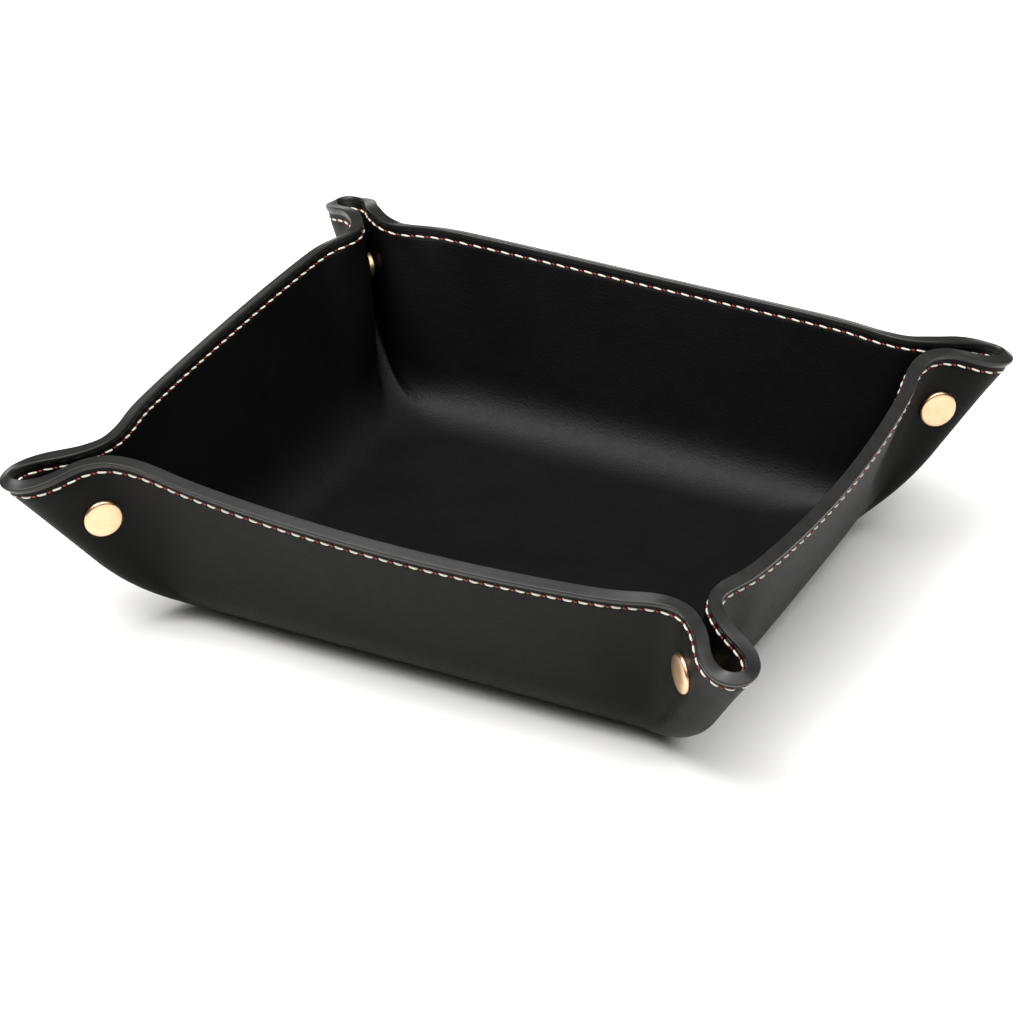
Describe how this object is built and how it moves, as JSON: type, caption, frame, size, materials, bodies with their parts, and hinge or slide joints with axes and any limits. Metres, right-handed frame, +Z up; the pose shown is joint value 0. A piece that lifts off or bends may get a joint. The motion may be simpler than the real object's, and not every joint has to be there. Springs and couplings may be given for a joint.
{
  "type": "valet tray",
  "caption": "Soft-sided rectangular valet tray of stitched black leather, its corners pinched into ears by brass press studs so that the walls stand; unsnapped, it opens out.",
  "frame": {"origin": "on the table under the middle of the tray", "axes": "+Z up, -Y towards the front (long) wall, +X along the long side"},
  "size_m": [0.2086, 0.1856, 0.0529],
  "materials": {
    "leather": "matte black fine-grain outer leather with painted edge and cream and burgundy stitching",
    "lining": "matte black fine-grain lining leather",
    "board": "leatherboard stiffener, not seen",
    "cap_brass": "satin rose-gold brass snap cap with a bevelled rim",
    "snap_brass": "plain brass",
    "spring_steel": "spring wire"
  },
  "bodies": {
    "base": {"floor_leather": "leather", "floor_lining": "lining", "floor_board": "board"},
    "wall_front": {"wall_front_leather": "leather", "wall_front_lining": "lining", "wall_front_board": "board"},
    "wall_right": {"wall_right_leather": "leather", "wall_right_lining": "lining", "wall_right_board": "board"},
    "wall_back": {"wall_back_leather": "leather", "wall_back_lining": "lining", "wall_back_board": "board"},
    "wall_left": {"wall_left_leather": "leather", "wall_left_lining": "lining", "wall_left_board": "board"},
    "ear_front_left_a": {"ear_front_left_a_leather": "leather", "ear_front_left_a_lining": "lining", "snap_front_left_cap_a": "cap_brass", "snap_front_left_socket": "snap_brass", "snap_front_left_spring": "spring_steel"},
    "ear_front_left_b": {"ear_front_left_b_leather": "leather", "ear_front_left_b_lining": "lining", "snap_front_left_cap_b": "cap_brass", "snap_front_left_stud": "snap_brass"},
    "ear_front_right_a": {"ear_front_right_a_leather": "leather", "ear_front_right_a_lining": "lining", "snap_front_right_cap_a": "cap_brass", "snap_front_right_socket": "snap_brass", "snap_front_right_spring": "spring_steel"},
    "ear_front_right_b": {"ear_front_right_b_leather": "leather", "ear_front_right_b_lining": "lining", "snap_front_right_cap_b": "cap_brass", "snap_front_right_stud": "snap_brass"},
    "ear_back_right_a": {"ear_back_right_a_leather": "leather", "ear_back_right_a_lining": "lining", "snap_back_right_cap_a": "cap_brass", "snap_back_right_socket": "snap_brass", "snap_back_right_spring": "spring_steel"},
    "ear_back_right_b": {"ear_back_right_b_leather": "leather", "ear_back_right_b_lining": "lining", "snap_back_right_cap_b": "cap_brass", "snap_back_right_stud": "snap_brass"},
    "ear_back_left_a": {"ear_back_left_a_leather": "leather", "ear_back_left_a_lining": "lining", "snap_back_left_cap_a": "cap_brass", "snap_back_left_socket": "snap_brass", "snap_back_left_spring": "spring_steel"},
    "ear_back_left_b": {"ear_back_left_b_leather": "leather", "ear_back_left_b_lining": "lining", "snap_back_left_cap_b": "cap_brass", "snap_back_left_stud": "snap_brass"}
  },
  "joints": [
    {"name": "wall_front_fold", "type": "hinge", "parent": "base", "child": "wall_front", "pos_m": [0, -0.05931, 0.00418], "axis": [1, 0, 0], "range_deg": [0, 69]},
    {"name": "wall_right_fold", "type": "hinge", "parent": "base", "child": "wall_right", "pos_m": [0.07081, 0, 0.00418], "axis": [0, 1, 0], "range_deg": [0, 69.01]},
    {"name": "wall_back_fold", "type": "hinge", "parent": "base", "child": "wall_back", "pos_m": [0, 0.05931, 0.00418], "axis": [-1, 0, 0], "range_deg": [0, 69.01]},
    {"name": "wall_left_fold", "type": "hinge", "parent": "base", "child": "wall_left", "pos_m": [-0.07081, 0, 0.00418], "axis": [0, -1, 0], "range_deg": [0, 69.01]},
    {"name": "ear_front_left_a_fold", "type": "hinge", "parent": "wall_front", "child": "ear_front_left_a", "pos_m": [-0.06678, -0.0672, 0.00349], "axis": [0.3291, 0.0442, -0.9433], "range_deg": [0, 44.14]},
    {"name": "ear_front_left_b_fold", "type": "hinge", "parent": "wall_left", "child": "ear_front_left_b", "pos_m": [-0.0787, -0.05528, 0.00349], "axis": [-0.0442, -0.3291, 0.9433], "range_deg": [0, 44.14]},
    {"name": "ear_front_right_a_fold", "type": "hinge", "parent": "wall_front", "child": "ear_front_right_a", "pos_m": [0.06678, -0.0672, 0.00349], "axis": [0.3291, -0.0442, 0.9433], "range_deg": [0, 44.14]},
    {"name": "ear_front_right_b_fold", "type": "hinge", "parent": "wall_right", "child": "ear_front_right_b", "pos_m": [0.0787, -0.05528, 0.00349], "axis": [-0.0442, 0.3291, -0.9433], "range_deg": [0, 44.14]},
    {"name": "ear_back_right_a_fold", "type": "hinge", "parent": "wall_back", "child": "ear_back_right_a", "pos_m": [0.06678, 0.0672, 0.00349], "axis": [-0.3291, -0.0442, -0.9433], "range_deg": [0, 44.14]},
    {"name": "ear_back_right_b_fold", "type": "hinge", "parent": "wall_right", "child": "ear_back_right_b", "pos_m": [0.0787, 0.05528, 0.00349], "axis": [0.0442, 0.3291, 0.9433], "range_deg": [0, 44.14]},
    {"name": "ear_back_left_a_fold", "type": "hinge", "parent": "wall_back", "child": "ear_back_left_a", "pos_m": [-0.06678, 0.0672, 0.00349], "axis": [-0.3291, 0.0442, 0.9433], "range_deg": [0, 44.14]},
    {"name": "ear_back_left_b_fold", "type": "hinge", "parent": "wall_left", "child": "ear_back_left_b", "pos_m": [-0.0787, 0.05528, 0.00349], "axis": [0.0442, -0.3291, -0.9433], "range_deg": [0, 44.14]}
  ],
  "couplings": [
    {"joint": "wall_right_fold", "follows": "wall_front_fold", "ratio": 1},
    {"joint": "wall_back_fold", "follows": "wall_front_fold", "ratio": 1},
    {"joint": "wall_left_fold", "follows": "wall_front_fold", "ratio": 1},
    {"joint": "ear_front_left_a_fold", "follows": "wall_front_fold", "ratio": 0.63952},
    {"joint": "ear_front_left_b_fold", "follows": "wall_front_fold", "ratio": 0.63952},
    {"joint": "ear_front_right_a_fold", "follows": "wall_front_fold", "ratio": 0.63952},
    {"joint": "ear_front_right_b_fold", "follows": "wall_front_fold", "ratio": 0.63952},
    {"joint": "ear_back_right_a_fold", "follows": "wall_front_fold", "ratio": 0.63952},
    {"joint": "ear_back_right_b_fold", "follows": "wall_front_fold", "ratio": 0.63952},
    {"joint": "ear_back_left_a_fold", "follows": "wall_front_fold", "ratio": 0.63952},
    {"joint": "ear_back_left_b_fold", "follows": "wall_front_fold", "ratio": 0.63952}
  ]
}
